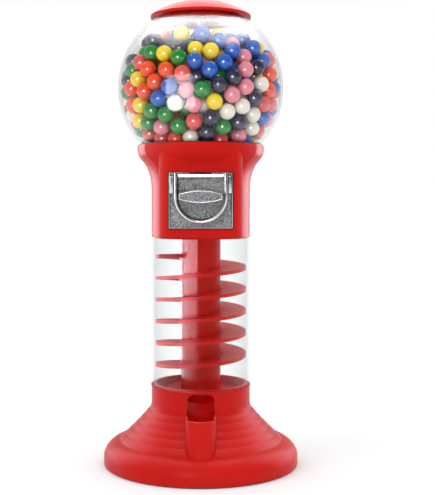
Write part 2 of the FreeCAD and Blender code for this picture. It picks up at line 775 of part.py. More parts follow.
plate_half = plate_width / 2
coin_plate = facing([(-plate_half, -plate_below_axis), (plate_half, -plate_below_axis),
                     (plate_half, plate_above_axis), (-plate_half, plate_above_axis)], plate_face, pad_face)
coin_plate = bevelled(coin_plate, plate_face, plate_bevel)
shield_front = plate_face + shield_height
shield = facing(shield_line(shield_radius + shield_wall, plate_above_axis), shield_front, plate_face)
shield = shield.cut(facing(shield_line(shield_radius, plate_above_axis), shield_front, plate_face))
shield = bevelled(shield, shield_front, shield_bevel)
ledge_low = axis_height + plate_above_axis - slot_gauge - ledge_depth
coin_ledge = outline([(plate_face, ledge_low), (plate_face + ledge_depth, ledge_low),
                      (plate_face, ledge_low + ledge_depth)],
                     lambda depth, z: V(-shield_radius, -depth, z)).extrude(V(2 * shield_radius, 0, 0))
extras = [shield, coin_ledge]
for side in (-1, 1):
    bar_x = side * (plate_half - plate_bevel - side_bar_width / 2)
    bar_points = [(bar_x - side_bar_width / 2, side_bar_foot), (bar_x + side_bar_width / 2, side_bar_foot),
                  (bar_x + side_bar_width / 2, plate_above_axis - side_bar_foot),
                  (bar_x - side_bar_width / 2, plate_above_axis - side_bar_foot)]
    bar = facing(bar_points, plate_face + side_bar_gauge, plate_face)
    extras.append(bevelled(bar, plate_face + side_bar_gauge, plate_bevel))
extras += [facing_rod(stud_radius, pad_face, pad_face - stud_length, x, z) for x, z in stud_spots]
slot_half = slot_width / 2
coin_slot = facing([(-slot_half, plate_above_axis - slot_gauge), (slot_half, plate_above_axis - slot_gauge),
                    (slot_half, plate_above_axis + 1), (-slot_half, plate_above_axis + 1)], shield_front,
                    pad_face)
coin_plate = coin_plate.fuse(extras).cut([coin_slot,
                                          facing_rod(shaft_radius + running_fit, shield_front, pad_face)])
save("coin_plate", single(coin_plate))
mech_nuts = []
nut_front = pad_face - housing_wall
nut_corner = mech_nut_flats / math.sqrt(3)
nut_line = [polar(nut_corner, 60.0 * i) for i in range(6)]
for x, z in stud_spots:
    mech_nut = facing([(x + a, z + b) for a, b in nut_line], nut_front, nut_front - mech_nut_height)
    mech_nuts.append(mech_nut.cut(facing_rod(stud_radius + running_fit, nut_front,
                                             nut_front - mech_nut_height, x, z)))
save("mech_nuts", *mech_nuts)

# Handle, shaft and what turns with them

handle_rear = plate_face + handle_stand_off
handle_front = handle_rear + handle_thickness
lens = (handle_height - handle_tip) / 2
blade = facing([(-handle_length / 2, -handle_tip / 2), (handle_length / 2, -handle_tip / 2, lens),
                (handle_length / 2, handle_tip / 2), (-handle_length / 2, handle_tip / 2, lens)],
                handle_front, handle_rear)
blade = bevelled(blade, handle_front, handle_bevel)
shaft_front = handle_rear + handle_thickness / 2
shaft_rear = crown_inner - seat_gap - clip_gauge
shaft_hole = facing_rod(shaft_radius + running_fit, shaft_front, shaft_rear - 1)
coin_handle = blade.fuse(facing_rod(handle_hub_radius, handle_rear + handle_bevel, plate_face + seat_gap))
save("coin_handle", single(coin_handle.cut(shaft_hole)))
save("handle_shaft", facing_rod(shaft_radius, shaft_front, shaft_rear))
carrier = facing_rod(carrier_radius, carrier_front, carrier_rear)
coin_notch = facing_rod(coin_radius, carrier_front + 1, carrier_rear - 1, 0,
                        carrier_radius - coin_notch_share * coin_radius)
save("coin_carrier", single(carrier.cut([coin_notch, shaft_hole])))
nose_angle = pawl_angle - pawl_span
ratchet_root = ratchet_radius - ratchet_depth
nose_radius = ratchet_root + seat_gap
step_angle = nose_angle - math.degrees((pawl_nose / 2 + pawl_nose_play) / nose_radius)
ratchet_line = []
for i in range(ratchet_teeth):
    angle = step_angle + 360.0 * i / ratchet_teeth
    ratchet_line += [polar(ratchet_radius, angle), polar(ratchet_root, angle)]
save("ratchet_wheel", single(facing(ratchet_line, ratchet_front, ratchet_rear).cut(shaft_hole)))
pinion_root = pinion_pitch_radius - gear_dedendum
pinion_tip = pinion_pitch_radius + gear_addendum
pinion_tooth = facing([(-tooth_root, pinion_root - mesh_play), (tooth_root, pinion_root - mesh_play),
                       (tooth_root, pinion_root),
                       (tooth_tip, pinion_tip), (-tooth_tip, pinion_tip), (-tooth_root, pinion_root)],
                       crown_outer, crown_inner)
axis_point = V(0, 0, axis_height)
teeth = [spun(pinion_tooth, 360.0 * i / pinion_teeth, axis_point, back) for i in range(pinion_teeth)]
pinion = facing_rod(pinion_root, crown_outer, crown_inner).fuse(teeth).cut(shaft_hole)
save("drive_pinion", single(pinion))
clip_front = crown_inner - seat_gap
save("shaft_clip", facing_rod(clip_radius, clip_front, shaft_rear).cut(shaft_hole))

# Drum round the coin carrier, with the pawl on its pin and the pawl's leaf spring

pin_x, pin_z = polar(pawl_reach, pawl_angle)
drum = facing_rod(drum_radius, pad_face, drum_rear)
drum_bore = drum_radius - drum_wall
exit_half = drum_exit_width / 2
coin_exit = facing([(-exit_half, -drum_radius), (exit_half, -drum_radius),
                    (exit_half, -carrier_radius + drum_wall),
                    (-exit_half, -carrier_radius + drum_wall)], pad_face, carrier_rear)
drum = drum.cut([facing_rod(drum_bore, pad_face, drum_rear + drum_wall), coin_exit, shaft_hole,
                 facing_rod(pawl_pin_radius + running_fit, pad_face, drum_rear, pin_x, pin_z)])
save("coin_drum", single(drum))
save("pawl_pin", facing_rod(pawl_pin_radius, carrier_rear - slip, drum_rear, pin_x, pin_z))
pin = V(pin_x, pin_z, 0)
nose = V(*polar(nose_radius, nose_angle), 0)
along = (nose - pin).normalize()
across = V(-along.y, along.x, 0)
radial = V(*polar(1, nose_angle), 0)
aside = V(radial.y, -radial.x, 0)
pawl_points = [pin + across * pawl_arm / 2, nose + aside * pawl_nose / 2 + radial * pawl_arm,
               nose + aside * pawl_nose / 2, nose - aside * pawl_nose, pin - across * pawl_arm / 2]
pawl = facing([(p.x, p.y) for p in pawl_points], ratchet_front, ratchet_rear)
pawl = pawl.fuse(facing_rod(pawl_boss, ratchet_front, ratchet_rear, pin_x, pin_z))
pawl = pawl.cut(facing_rod(pawl_pin_radius + running_fit, ratchet_front + 1, ratchet_rear - 1, pin_x, pin_z))
pawl = spun(pawl, pawl_lift, V(pin_x, 0, axis_height + pin_z), -back)
save("pawl", single(pawl))
pawl_back = pawl_points[1] - pawl_points[0]
off_back = V(-pawl_back.y, pawl_back.x, 0).normalize()
rest_arm = (pawl_points[0] + pawl_points[1]) * 0.5 - pin + off_back * (spring_gauge + seat_gap)
spring_rest = pin + FreeCAD.Rotation(up, pawl_lift).multVec(rest_arm)
spring_hold = V(*polar(drum_bore - spring_gauge, nose_angle - pawl_span / 2), 0)
lean = (spring_hold - spring_rest).normalize()
thick = V(-lean.y, lean.x, 0) * spring_gauge / 2
spring_points = [spring_rest - thick, spring_hold - thick, spring_hold + thick, spring_rest + thick]
save("pawl_spring", facing([(p.x, p.y) for p in spring_points], ratchet_front, ratchet_rear))

# Coin chute from under the drum to the middle of the deck

chute_front = pad_face - housing_wall - chute_wall / 2
chute_end = coin_hole_radius - chute_wall
chute_run = chute_front - chute_end
chute_drop = chute_run * math.tan(math.radians(chute_slope))
chute_half = chute_width / 2
chute_line = [(-chute_half, 0), (chute_half, 0), (chute_half, chute_side),
              (chute_half - chute_wall, chute_side),
              (chute_half - chute_wall, chute_wall), (chute_wall - chute_half, chute_wall),
              (chute_wall - chute_half, chute_side), (-chute_half, chute_side)]
chute_face = outline(chute_line, lambda x, z: V(x, -chute_front, deck_top + chute_drop + z))
save("coin_chute", chute_face.extrude(V(0, chute_run, -chute_drop)))

# Gumballs, left to settle in the globe and then sorted by colour

def settled_heap():
    """Centres of balls that fall from random places and push apart until they rest in the globe."""
    draw = random.Random(heap_seed)
    reach = globe_bore - ball_radius - seat_gap
    ceiling = globe_mouth - globe_centre - heap_top_clear - ball_radius
    rod_room = rod_radius + ball_radius + seat_gap
    spacing = ball_diameter + heap_slack
    balls = []
    while len(balls) < int(heap_fill * (globe_bore / ball_radius) ** 3):
        ball = [draw.uniform(-reach, reach) for _ in range(3)]
        if math.hypot(*ball) < reach and math.hypot(ball[0], ball[1]) > rod_room:
            balls.append(ball)
    for step in range(heap_steps):
        fall = heap_fall * max(0.0, 1 - heap_calm * step / heap_steps)
        cells = {}
        for ball in balls:
            ball[2] -= fall
            cells.setdefault(tuple(int(c // spacing) for c in ball), []).append(ball)
        for (i, j, k), group in cells.items():
            near = [b for di in (0, 1) for dj in (-1, 0, 1) for dk in (-1, 0, 1)
                    if (di, dj, dk) > (0, 0, 0) for b in cells.get((i + di, j + dj, k + dk), ())]
            for n, one in enumerate(group):
                for other in group[n + 1:] + near:
                    push_apart(one, other, spacing)
        for ball in balls:
            off_axis = math.hypot(ball[0], ball[1])
            if off_axis < rod_room:
                ball[0] *= rod_room / max(off_axis, touch)
                ball[1] *= rod_room / max(off_axis, touch)
            ball[2] = min(ball[2], ceiling)
            length = math.hypot(*ball)
            if length > reach:
                ball[:] = [c * reach / length for c in ball]
    return balls


def push_apart(one, other, spacing):
    gap = [b - a for a, b in zip(one, other)]
    distance = math.hypot(*gap)
    if 0 < distance < spacing:
        share = (spacing - distance) / distance / 2
        for c in range(3):
            one[c] -= gap[c] * share
            other[c] += gap[c] * share


def clear_balls(balls):
    """The balls that stand clear of every ball kept before them."""
    kept = []
    rod_room = rod_radius + ball_radius + ball_gap
    for ball in balls:
        free = all(math.dist(ball, other) > ball_diameter + ball_gap for other in kept)
        if free and math.hypot(ball[0], ball[1]) > rod_room:
            kept.append(ball)
    return kept


# Each colour gathers loosely round its own side of the globe, as (x, z) seen from the front
colour_homes = {"green": (-1.0, 0.1), "orange": (0.1, 0.15), "coral": (-0.3, -0.7), "pink": (0.6, -0.2),
                "yellow": (0.3, 0.6), "white": (0.2, -1.0), "blue": (0.9, 0.5), "navy": (-0.2, 0.5)}
heap = clear_balls(settled_heap())
mixer = random.Random(heap_seed)
groups = {colour: [] for colour in colour_homes}
for x, y, z in heap:
    pulls = {}
    for colour, home in colour_homes.items():
        pulls[colour] = (x * home[0] + z * home[1]) / globe_bore + mixer.gauss(0, colour_mix)
    ball = Part.makeSphere(ball_radius, V(x, y, globe_centre + z))
    groups[max(pulls, key=pulls.get)].append(ball)
for colour, balls in groups.items():
    save("gumballs_" + colour, *balls)
print("gumballs", len(heap), "top", max(b[2] for b in heap) + globe_centre)
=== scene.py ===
import json
import math
import bpy
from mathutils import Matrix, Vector


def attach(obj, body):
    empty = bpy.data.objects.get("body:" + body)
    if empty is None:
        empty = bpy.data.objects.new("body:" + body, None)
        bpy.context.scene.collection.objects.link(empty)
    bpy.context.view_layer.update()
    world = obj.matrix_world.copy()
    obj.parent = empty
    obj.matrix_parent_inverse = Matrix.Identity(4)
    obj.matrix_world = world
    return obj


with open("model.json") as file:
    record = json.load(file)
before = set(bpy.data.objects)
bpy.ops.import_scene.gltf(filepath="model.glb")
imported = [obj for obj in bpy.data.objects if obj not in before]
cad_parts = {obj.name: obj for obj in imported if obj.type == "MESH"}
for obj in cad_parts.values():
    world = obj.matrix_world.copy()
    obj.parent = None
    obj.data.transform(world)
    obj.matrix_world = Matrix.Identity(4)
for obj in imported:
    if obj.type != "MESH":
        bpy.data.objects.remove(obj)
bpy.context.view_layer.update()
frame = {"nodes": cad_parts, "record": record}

nodes = frame["nodes"]
print("frame loaded:", len(nodes), "nodes")


class Value:
    # wraps a socket, so that shader maths reads as plain sums
    def __init__(self, finish, socket):
        self.finish = finish
        self.socket = socket

    def join(self, operation, first, second):
        return self.finish.node("ShaderNodeMath", {"operation": operation}, {0: first, 1: second})

    def __add__(self, other):
        return self.join("ADD", self, other)

    def __radd__(self, other):
        return self.join("ADD", other, self)

    def __mul__(self, other):
        return self.join("MULTIPLY", self, other)

    def __rmul__(self, other):
        return self.join("MULTIPLY", other, self)

    def __pow__(self, other):
        return self.join("POWER", self, other)

    def above(self, other):
        return self.join("GREATER_THAN", self, other)

    def below(self, other):
        return self.join("LESS_THAN", self, other)


class Finish:
    # one material, or the world: every node is made by one method
    def __init__(self, name, holders=bpy.data.materials, output="ShaderNodeOutputMaterial"):
        self.holder = holders.new(name)
        self.holder.use_nodes = True
        self.tree = self.holder.node_tree
        self.tree.nodes.clear()
        self.output = self.tree.nodes.new(output)

    def node(self, kind, settings=None, sockets=None, output=0):
        made = self.tree.nodes.new(kind)
        for name, setting in (settings or {}).items():
            if name == "stops":
                self.setStops(made.color_ramp, setting)
            else:
                setattr(made, name, setting)
        for key, given in (sockets or {}).items():
            if isinstance(given, Value):
                self.tree.links.new(given.socket, made.inputs[key])
            else:
                made.inputs[key].default_value = given
        return Value(self, made.outputs[output])

    def setStops(self, ramp, stops):
        while len(ramp.elements) < len(stops):
            ramp.elements.new(1.0)
        for element, (place, colour) in zip(ramp.elements, stops):
            element.position = place
            element.color = (*colour, 1.0)

    def coords(self):
        return self.node("ShaderNodeTexCoord", output=3)      # Object coordinates, in metres

    def noise(self, scale, detail=2.0, roughness=0.5):
        return self.node("ShaderNodeTexNoise", {"noise_dimensions": "3D"},
                         {"Vector": self.coords(), "Scale": scale, "Detail": detail, "Roughness": roughness})

    def cells(self, scale):
        return self.node("ShaderNodeTexVoronoi", {"feature": "SMOOTH_F1"},
                         {"Vector": self.coords(), "Scale": scale})

    def place(self, axis):
        return self.node("ShaderNodeSeparateXYZ", {}, {0: self.coords()}, output="XYZ".index(axis))

    def ramp(self, factor, stops):
        return self.node("ShaderNodeValToRGB", {"stops": stops}, {"Fac": factor})

    def bump(self, height, strength, distance):
        return self.node("ShaderNodeBump", {}, {"Height": height, "Strength": strength, "Distance": distance})

    def principled(self, **sockets):
        named = {name.replace("_", " "): given for name, given in sockets.items()}
        return self.node("ShaderNodeBsdfPrincipled", {}, named)

    def finish(self, shader):
        self.tree.links.new(shader.socket, self.output.inputs["Surface"])
        return self.holder


# Moulded red plastic, with a faint orange peel, flow marks and dull stains; reach tells in metres
# where the gloss changes: outside the post, left of it, and on the front pad of the housing
redLook = {"deep": (0.47, 0.004, 0.002), "bright": (0.55, 0.007, 0.004), "flow": 9.0, "peel": 700.0,
           "grime": 60.0, "stain": 0.10, "bump": 0.05, "depth": 0.0004}
redShine = {"redSatin": {"post": 0.33, "beyond": 0.0, "left": 0.0, "pad": 0.0},
            "redGloss": {"post": 0.12, "beyond": 0.18, "left": 0.45, "pad": 0.0},
            "redHousing": {"post": 0.33, "beyond": 0.0, "left": 0.0, "pad": 0.40}}
redReach = {"beyond": 0.034, "left": -0.034, "pad": -0.050}


def makeRedPlastic(name):
    t, shine = redLook, redShine[name]
    look = Finish(name)
    flow = look.noise(t["flow"], detail=3.0)
    grime = look.noise(t["grime"], detail=4.0, roughness=0.6)
    across, along = look.place("X"), look.place("Y")
    beyond = ((across * across + along * along) ** 0.5).above(redReach["beyond"])
    left = across.below(redReach["left"])
    pad = along.below(redReach["pad"])
    gloss = shine["post"] + shine["beyond"] * beyond + shine["left"] * left + shine["pad"] * pad
    return look.finish(look.principled(
        Base_Color=look.ramp(flow, [(0.3, t["deep"]), (0.7, t["bright"])]),
        Roughness=gloss + t["stain"] * grime ** 2, IOR=1.45, Specular_IOR_Level=0.15,
        Normal=look.bump(look.noise(t["peel"]), t["bump"], t["depth"])))


# Clear moulded plastic: see-through, with a reflection that grows to the edges; the reflection's colour is
# painted pale on the face and dark grey at the silhouettes, a painted dark outline of shade
clearLooks = {
    "globe": {"front": 0.012, "rim": 0.6, "rise": 4.0, "blur": 0.12, "haze": 0.14,
              "tint": (0.985, 0.988, 0.99, 1.0), "pale": (0.86, 0.87, 0.88), "dark": (0.05, 0.05, 0.055)},
    "clear_tube": {"front": 0.002, "rim": 0.23, "rise": 1.2, "blur": 0.02, "haze": 0.0,
                   "tint": (0.99, 0.992, 0.99, 1.0), "pale": (0.42, 0.43, 0.43), "dark": (0.34, 0.35, 0.35)}}
clearWaves = {"scale": 14.0, "least": 0.9, "swing": 0.2, "blur": 0.01}
hazeRise = {"From Min": 0.60, "From Max": 0.65}


def makeClearPlastic(name, clear):
    look = Finish("clearPlastic" + name.capitalize())
    waves = look.noise(clearWaves["scale"])
    facing = look.node("ShaderNodeLayerWeight", {}, {"Blend": 0.5}, output=1)
    edge = clear["front"] + clear["rim"] * facing ** clear["rise"]
    through = look.node("ShaderNodeBsdfTransparent", {}, {"Color": clear["tint"]})
    # Painted shade: the reflection's colour turns from pale to dark grey where a surface turns edge-on to the
    # view
    tone = look.ramp(facing, [(0.90, clear["pale"]), (0.975, clear["dark"])])
    shoulder = look.node("ShaderNodeMapRange", {"interpolation_type": "SMOOTHSTEP"},
                         {"Value": look.place("Z"), **hazeRise})
    blur = clear["blur"] + clear["haze"] * shoulder + clearWaves["blur"] * waves
    shine = look.principled(Base_Color=tone, Metallic=1.0, Roughness=blur)
    share = edge * (clearWaves["least"] + clearWaves["swing"] * waves)
    return look.finish(look.node("ShaderNodeMixShader", {}, {0: share, 1: through, 2: shine}))


# Hammered zinc casting of the coin plate and handle
zincLook = {"pit": 620.0, "blotch": 500.0, "wear": 45.0, "dark": (0.11, 0.11, 0.115),
            "light": (0.52, 0.52, 0.53), "pitShade": 0.8, "blotchShade": 0.5, "gloss": 0.28, "worn": 0.15,
            "bump": 0.85, "depth": 0.0009}


def makeZinc():
    t = zincLook
    look = Finish("hammeredZinc")
    pits = look.cells(t["pit"])
    blotch = look.noise(t["blotch"], detail=3.0, roughness=0.65)
    wear = look.noise(t["wear"], detail=3.0)
    shade = pits * t["pitShade"] + blotch * t["blotchShade"]
    return look.finish(look.principled(
        Base_Color=look.ramp(shade, [(0.25, t["light"]), (0.85, t["dark"])]),
        Metallic=1.0, Roughness=t["gloss"] + t["worn"] * wear,
        Normal=look.bump(pits + blotch, t["bump"], t["depth"])))


# Hard sugar shells, each batch a little paler in places
candyColours = {"green": (0.002, 0.245, 0.020), "orange": (0.93, 0.070, 0.005), "coral": (0.78, 0.080, 0.070),
                "pink": (0.82, 0.25, 0.31), "yellow": (0.95, 0.68, 0.010), "white": (0.85, 0.81, 0.71),
                "blue": (0.003, 0.105, 0.50), "navy": (0.020, 0.017, 0.058)}
candyLook = {"batch": 38.0, "speck": 900.0, "fade": 0.88, "lift": 0.02, "gloss": 0.2, "grain": 0.12,
             "coat": 0.5, "patch": 0.2, "bump": 0.06, "depth": 0.0003}


def makeCandy(name, colour):
    t = candyLook
    look = Finish("candy" + name.capitalize())
    batch = look.noise(t["batch"], detail=1.0)
    speck = look.noise(t["speck"], roughness=0.6)
    pale = tuple(t["fade"] * c + t["lift"] for c in colour)
    return look.finish(look.principled(
        Base_Color=look.ramp(batch, [(0.35, colour), (0.75, pale)]),
        Roughness=t["gloss"] + t["grain"] * speck,
        Coat_Weight=t["coat"] + t["patch"] * batch, Coat_Roughness=0.05,
        Normal=look.bump(speck, t["bump"], t["depth"])))


# Plain turned or plated metal, rubber and pale moulded plastic of the inner pieces
innerLooks = {"steel": {"colour": (0.50, 0.50, 0.51), "metal": 1.0, "gloss": 0.28, "grain": 220.0},
              "brass": {"colour": (0.70, 0.47, 0.17), "metal": 1.0, "gloss": 0.25, "grain": 220.0},
              "black_rubber": {"colour": (0.016, 0.016, 0.017), "metal": 0.0, "gloss": 0.62, "grain": 500.0},
              "inner_plastic": {"colour": (0.72, 0.70, 0.64), "metal": 0.0, "gloss": 0.38, "grain": 120.0}}
innerStreak = {"shade": 0.8, "dull": 0.12, "bump": 0.08, "depth": 0.0003}


def makeInner(name):
    t, run = innerLooks[name], innerStreak
    look = Finish(name)
    streak = look.noise(t["grain"], detail=3.0, roughness=0.6)
    dark = tuple(run["shade"] * c for c in t["colour"])
    return look.finish(look.principled(
        Base_Color=look.ramp(streak, [(0.3, dark), (0.7, t["colour"])]), Metallic=t["metal"],
        Roughness=t["gloss"] + run["dull"] * streak, Normal=look.bump(streak, run["bump"], run["depth"])))


def isPost(name):
    return name.startswith(("spiral_section", "column_", "catch_tray"))


looks = {"red_plastic": makeRedPlastic("redSatin"), "post": makeRedPlastic("redGloss"),
         "housing": makeRedPlastic("redHousing"), "zinc_casting": makeZinc()}
for name in innerLooks:
    looks[name] = makeInner(name)
for name, colour in candyColours.items():
    looks["candy_" + name] = makeCandy(name, colour)
for name, clear in clearLooks.items():
    looks[name] = makeClearPlastic(name, clear)
for part in frame["record"]["subparts"]:
    name = part["node"]
    finish = name if name in looks else "post" if isPost(name) else part["material_slot"]
    for place in nodes[name].material_slots:
        place.material = looks[finish]
print("finishes given to", len(nodes), "nodes")


# Polished zinc, worn bright where fingers and coins rub
polishLook = {"bright": (0.86, 0.86, 0.87), "dull": (0.62, 0.62, 0.64), "rub": 160.0, "scratch": 1400.0,
              "worn": 0.16, "bump": 0.12, "depth": 0.0002}


def makePolish(name, gloss):
    t = polishLook
    look = Finish(name)
    rub = look.noise(t["rub"], detail=3.0, roughness=0.6)
    scratch = look.noise(t["scratch"])
    return look.finish(look.principled(
        Base_Color=look.ramp(rub, [(0.3, t["dull"]), (0.65, t["bright"])]), Metallic=1.0,
        Roughness=gloss + t["worn"] * rub * scratch, Normal=look.bump(scratch, t["bump"], t["depth"])))


polish = makePolish("polishedZinc", gloss=0.10)
satin = makePolish("satinZinc", gloss=0.22)


# Near-black finish of the lines in the seams, the shield groove and the coin slot: painted shade for the
# shadows in these gaps, with a faint grain
paintedShadeLook = {"black": (0.010, 0.010, 0.011), "grey": (0.030, 0.029, 0.028), "grain": 700.0, "metal": 0.6,
            "gloss": 0.45, "dull": 0.2}


def makePaintedShade():
    t = paintedShadeLook
    look = Finish("slotShadow")
    shadeGrain = look.noise(t["grain"], detail=3.0)
    return look.finish(look.principled(
        Base_Color=look.ramp(shadeGrain, [(0.3, t["black"]), (0.7, t["grey"])]), Metallic=t["metal"],
        Roughness=t["gloss"] + t["dull"] * shadeGrain))


paintedShade = makePaintedShade()


# Modelling helpers; trims lists each added piece with its slot
trims = []
beadLook = {"start": 0.001, "rounding": 3, "smooth": math.radians(50)}


def clearSelection():
    if bpy.context.object and bpy.context.object.mode != "OBJECT":
        bpy.ops.object.mode_set(mode="OBJECT")
    bpy.ops.object.select_all(action="DESELECT")


def dress(piece, body, slot, finish):
    piece.data.materials.clear()
    piece.data.materials.append(finish)
    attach(piece, body)
    trims.append((piece, slot))


# A line of points drawn by extruding one vertex, then given a round section
def drawBead(name, points, radius, closed, body, slot, finish):
    clearSelection()
    bpy.ops.mesh.primitive_plane_add(size=beadLook["start"], location=(0, 0, 0))
    bead = bpy.context.object
    bead.name = name
    bpy.ops.object.mode_set(mode="EDIT")
    bpy.ops.mesh.merge(type="CENTER")
    bpy.ops.transform.translate(value=points[0])
    for before, after in zip(points, points[1:]):
        step = Vector(after) - Vector(before)
        bpy.ops.mesh.extrude_vertices_move(TRANSFORM_OT_translate={"value": step})
    if closed:
        bpy.ops.mesh.select_all(action="DESELECT")
        bpy.ops.object.mode_set(mode="OBJECT")
        bead.data.vertices[0].select = True
        bead.data.vertices[len(points) - 1].select = True
        bpy.ops.object.mode_set(mode="EDIT")
        bpy.ops.mesh.edge_face_add()
    bpy.ops.object.mode_set(mode="OBJECT")
    bpy.ops.object.convert(target="CURVE")
    bead.data.bevel_depth = radius
    bead.data.bevel_resolution = beadLook["rounding"]
    bead.data.use_fill_caps = True
    bpy.ops.object.convert(target="MESH")
    bpy.ops.object.shade_smooth_by_angle(angle=beadLook["smooth"])
    dress(bead, body, slot, finish)


def plateBead(name, points, radius, finish, closed=False):
    drawBead(name, points, radius, closed, "machine", "zinc_casting", finish)


def arcPoints(centre, radius, first, last, count, depth):
    turn = [math.radians(first + (last - first) * i / count) for i in range(count + 1)]
    return [(centre[0] + radius * math.cos(a), depth, centre[1] + radius * math.sin(a)) for a in turn]


# Coin plate: bright beads on the shield and the border, dark lines of painted shade in the seams, and raised
# side bars, in metres;
# heights are told from the handle's axis
plateTrim = {"axis": 0.4125, "face": -0.0870, "front": -0.0938, "shield": 0.0369, "top": 0.0348,
             "bead": 0.0023, "half": 0.0463, "low": -0.0458, "border": 0.0007, "inset": 0.0013,
             "line": 0.0006, "seamHalf": 0.0478, "seamLow": -0.0473, "seamHigh": 0.0366,
             "seamFace": -0.0843, "seam": 0.0010, "groove": 0.0337, "grooveEnd": 300,
             "grooveFace": -0.0876, "grooveBead": 0.0007}
barLook = {"centre": 0.0430, "half": 0.0025, "low": 0.0050, "high": 0.0310, "face": -0.0890, "rise": 0.0013,
           "sunk": 0.0005, "edge": 0.0010, "rounding": 4, "smooth": math.radians(40), "gap": 0.0005,
           "seam": 0.0005}


def cupLine(half, depth, low, high):
    return [(-half, depth, high), (-half, depth, low), (half, depth, low), (half, depth, high)]


def trimCoinPlate():
    t = plateTrim
    axis = t["axis"]
    top = axis + t["top"]
    shieldLine = [(-t["shield"], t["front"], top)]
    shieldLine += arcPoints((0.0, axis), t["shield"], 180, 360, 40, t["front"])
    shieldLine += [(t["shield"], t["front"], top)]
    plateBead("shieldBead", shieldLine, t["bead"], polish)
    low = axis + t["low"]
    plateBead("plateBorder", cupLine(t["half"], t["face"], low, top), t["border"], polish)
    # A dark line just inside the border bead: painted shade where the border meets the face
    inner = cupLine(t["half"] - t["inset"], t["face"], low + t["inset"], axis + barLook["low"])
    plateBead("plateShadeLine", inner, t["line"], paintedShade)
    # A dark ring round the plate on the pad, in the gap to the housing: painted shadow
    seam = cupLine(t["seamHalf"], t["seamFace"], axis + t["seamLow"], axis + t["seamHigh"])
    plateBead("plateShadowSeam", seam, t["seam"], paintedShade, closed=True)
    # A dark line down the left and round the lower left inside the shield wall, where the wall casts its
    # shadow: painted shadow
    groove = [(-t["groove"], t["grooveFace"], axis + ledgeLook["low"])]
    groove += arcPoints((0.0, axis), t["groove"], 180, t["grooveEnd"], 30, t["grooveFace"])
    plateBead("shieldShadowLine", groove, t["grooveBead"], paintedShade)


def makeSideBar(name, side):
    t = barLook
    clearSelection()
    bpy.ops.mesh.primitive_cube_add(size=1.0, location=(0, 0, 0))
    bar = bpy.context.object
    bar.name = name
    face, axis = t["face"], plateTrim["axis"]
    for vertex in bar.data.vertices:
        x, y, z = vertex.co
        vertex.co = (side * t["centre"] + 2 * x * t["half"], face - t["rise"] if y < 0 else face + t["sunk"],
                     axis + (t["low"] if z < 0 else t["high"]))
    bpy.ops.object.mode_set(mode="EDIT")
    bpy.ops.mesh.select_all(action="SELECT")
    bpy.ops.mesh.bevel(offset=t["edge"], segments=t["rounding"])
    bpy.ops.object.mode_set(mode="OBJECT")
    bpy.ops.object.shade_smooth_by_angle(angle=t["smooth"])
    dress(bar, "machine", "zinc_casting", satin)
    # A dark ring round each bar, in the gap to the plate: painted shadow
    wide, low, high = t["half"] + t["gap"], t["low"] - t["gap"], t["high"] + t["gap"]
    line = [(side * t["centre"] + x, face, axis + z)
            for x, z in ((-wide, low), (wide, low), (wide, high), (-wide, high))]
    plateBead(name + "Seam", line, t["seam"], paintedShade, closed=True)


# Bright coin ledge under the slot, and a dark liner in the slot: painted shade for the slot's depth
ledgeLook = {"halfLow": 0.0330, "halfHigh": 0.0340, "low": 0.0288, "high": 0.0332, "out": -0.0913,
             "in": -0.0891, "border": 0.0004, "sunk": 0.00015, "thick": 0.0003}
slotLook = {"half": 0.0163, "low": 0.0336, "high": 0.0358, "front": -0.0866, "rear": -0.0842, "wall": 0.0004,
            "deep": 0.0018}


def makeCoinLedge():
    t = ledgeLook
    axis = plateTrim["axis"]
    clearSelection()
    bpy.ops.mesh.primitive_plane_add(size=1.0, location=(0, 0, 0))
    ledge = bpy.context.object
    ledge.name = "coinLedge"
    corners = [(-t["halfLow"], t["out"], axis + t["low"]), (t["halfLow"], t["out"], axis + t["low"]),
               (-t["halfHigh"], t["in"], axis + t["high"]), (t["halfHigh"], t["in"], axis + t["high"])]
    for vertex, corner in zip(ledge.data.vertices, corners):
        vertex.co = corner
    bpy.ops.object.mode_set(mode="EDIT")
    bpy.ops.mesh.select_all(action="SELECT")
    bpy.ops.mesh.subdivide(number_cuts=2)
    bpy.ops.mesh.inset(thickness=t["border"], depth=t["sunk"])
    bpy.ops.object.mode_set(mode="OBJECT")
    wall = ledge.modifiers.new("wall", "SOLIDIFY")
    wall.thickness = t["thick"]
    wall.offset = 1.0
    bpy.ops.object.modifier_apply(modifier="wall")
    dress(ledge, "machine", "zinc_casting", polish)


# The liner's black is painted shade that stands in for the dark depth of the slot
def makeSlotShadow():
    t = slotLook
    axis = plateTrim["axis"]
    clearSelection()
    bpy.ops.mesh.primitive_cube_add(size=1.0, location=(0, 0, 0))
    shadowLiner = bpy.context.object
    shadowLiner.name = "slotShadow"
    for vertex in shadowLiner.data.vertices:
        x, y, z = vertex.co
        vertex.co = (2 * x * t["half"], t["front"] if y < 0 else t["rear"],
                     axis + (t["low"] if z < 0 else t["high"]))
    bpy.ops.object.mode_set(mode="EDIT")
    bpy.ops.mesh.select_all(action="DESELECT")
    bpy.ops.object.mode_set(mode="OBJECT")
    for face in shadowLiner.data.polygons:
        face.select = face.normal.y < -0.5
    bpy.ops.object.mode_set(mode="EDIT")
    bpy.ops.mesh.inset(thickness=t["wall"])
    bpy.ops.mesh.extrude_region_move(TRANSFORM_OT_translate={"value": (0, t["deep"], 0)})
    bpy.ops.object.mode_set(mode="OBJECT")
    dress(shadowLiner, "machine", "zinc_casting", paintedShade)


# Handle: a bead round the lens-shaped front
handleTrim = {"front": -0.1050, "length": 0.0616, "height": 0.0166, "tip": 0.0066, "bead": 0.0009,
              "count": 24}


